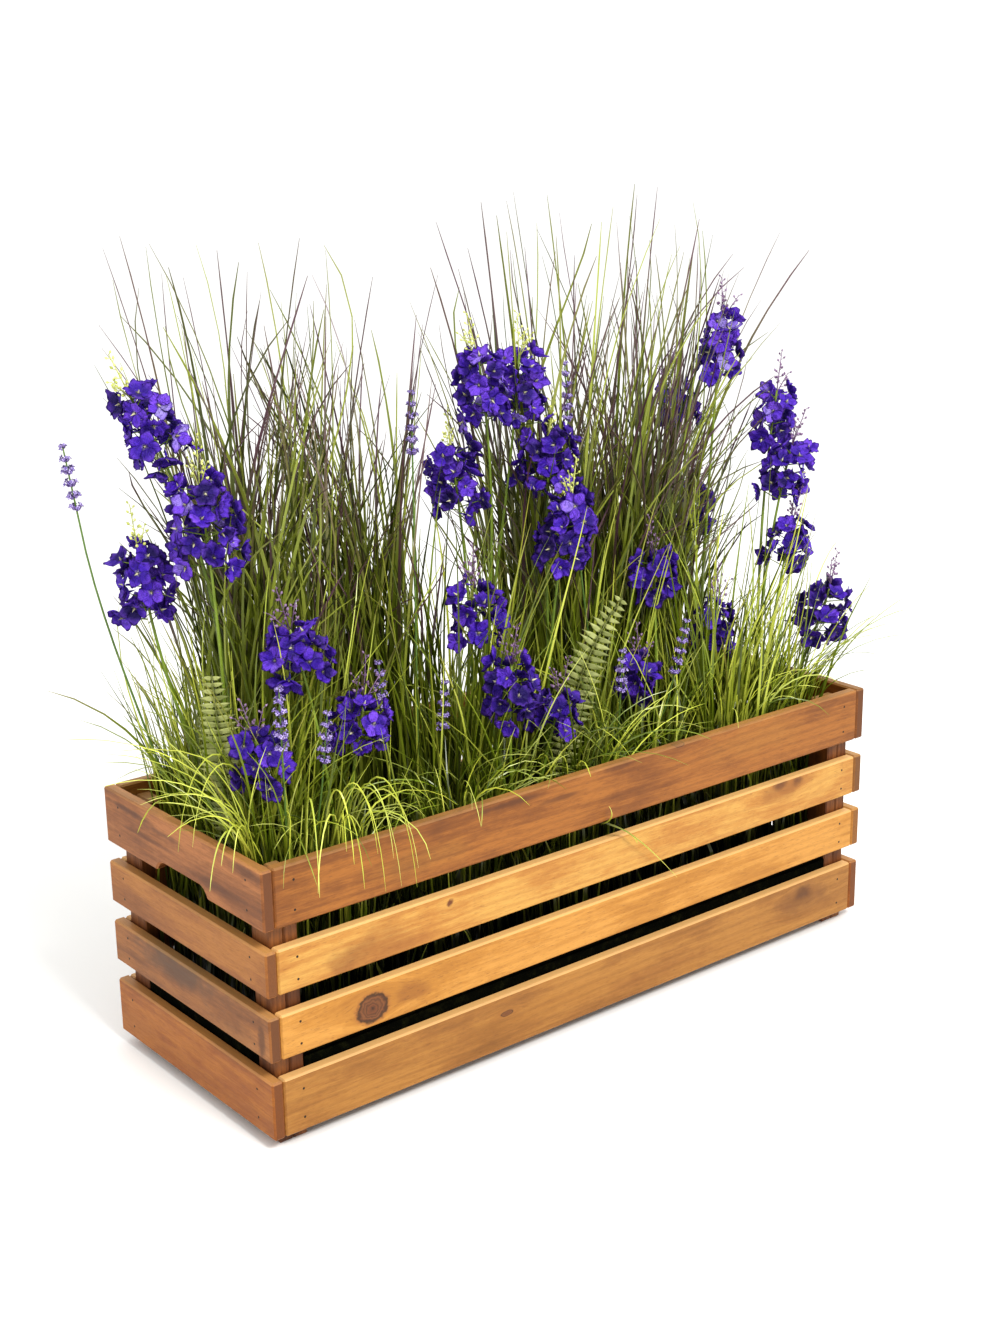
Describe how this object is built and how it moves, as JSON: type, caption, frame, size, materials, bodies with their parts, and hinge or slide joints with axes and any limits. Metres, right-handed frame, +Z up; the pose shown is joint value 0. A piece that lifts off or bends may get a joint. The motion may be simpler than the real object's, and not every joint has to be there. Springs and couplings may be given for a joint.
{
  "type": "flower crate planter",
  "caption": "Long slatted wooden crate on corner battens, with hand-holds in its ends, planted with larkspur, lavender, fern and upright and arching grasses.",
  "frame": {"origin": "on the ground under the middle of the crate, at the centre of the whole part's footprint", "axes": "+X along the crate to its right end, +Y from the long front to the back, +Z up"},
  "size_m": [1.0267, 0.4028, 0.818],
  "materials": {
    "oiled_acacia": "oiled, satin",
    "oiled_acacia_dark": "oiled, satin",
    "moss": "matt, mossy",
    "larkspur": "matt petals on a smooth stem",
    "lavender": "matt",
    "fern": "matt",
    "grass_dark": "satin blades",
    "grass_green": "satin blades",
    "grass_bright": "satin blades"
  },
  "bodies": {
    "root": {"board_front_bottom": "oiled_acacia", "board_front_lower": "oiled_acacia", "board_front_upper": "oiled_acacia", "board_front_top": "oiled_acacia", "board_back_bottom": "oiled_acacia", "board_back_lower": "oiled_acacia", "board_back_upper": "oiled_acacia", "board_back_top": "oiled_acacia", "board_left_bottom": "oiled_acacia", "board_left_lower": "oiled_acacia", "board_left_upper": "oiled_acacia", "board_left_top": "oiled_acacia", "board_right_bottom": "oiled_acacia", "board_right_lower": "oiled_acacia", "board_right_upper": "oiled_acacia", "board_right_top": "oiled_acacia", "batten_left_front_end": "oiled_acacia_dark", "batten_left_front_side": "oiled_acacia_dark", "batten_left_back_end": "oiled_acacia_dark", "batten_left_back_side": "oiled_acacia_dark", "batten_right_front_end": "oiled_acacia_dark", "batten_right_front_side": "oiled_acacia_dark", "batten_right_back_end": "oiled_acacia_dark", "batten_right_back_side": "oiled_acacia_dark", "cleat_left": "oiled_acacia_dark", "cleat_right": "oiled_acacia_dark", "floor_front": "oiled_acacia_dark", "floor_middle": "oiled_acacia_dark", "floor_back": "oiled_acacia_dark", "planting_bed": "moss", "larkspur_left": "larkspur", "larkspur_left_front": "larkspur", "larkspur_centre_back": "larkspur", "larkspur_centre": "larkspur", "larkspur_centre_front": "larkspur", "larkspur_right_front": "larkspur", "larkspur_right_back": "larkspur", "larkspur_right": "larkspur", "lavender_left": "lavender", "lavender_front_left": "lavender", "lavender_centre": "lavender", "lavender_right": "lavender", "fern_front": "fern", "fern_left": "fern", "tussock_left": "grass_dark", "tussock_centre_left": "grass_dark", "tussock_centre_right": "grass_dark", "tussock_right": "grass_dark", "tussock_right_end": "grass_dark", "clump_left": "grass_green", "clump_centre_left": "grass_green", "clump_centre_right": "grass_green", "clump_right": "grass_green", "tuft_left_end": "grass_bright", "tuft_front_left": "grass_bright", "tuft_front_centre_left": "grass_bright", "tuft_front_centre": "grass_bright", "tuft_front_right": "grass_bright", "tuft_right_end": "grass_bright", "tuft_back": "grass_bright"}
  },
  "joints": []
}
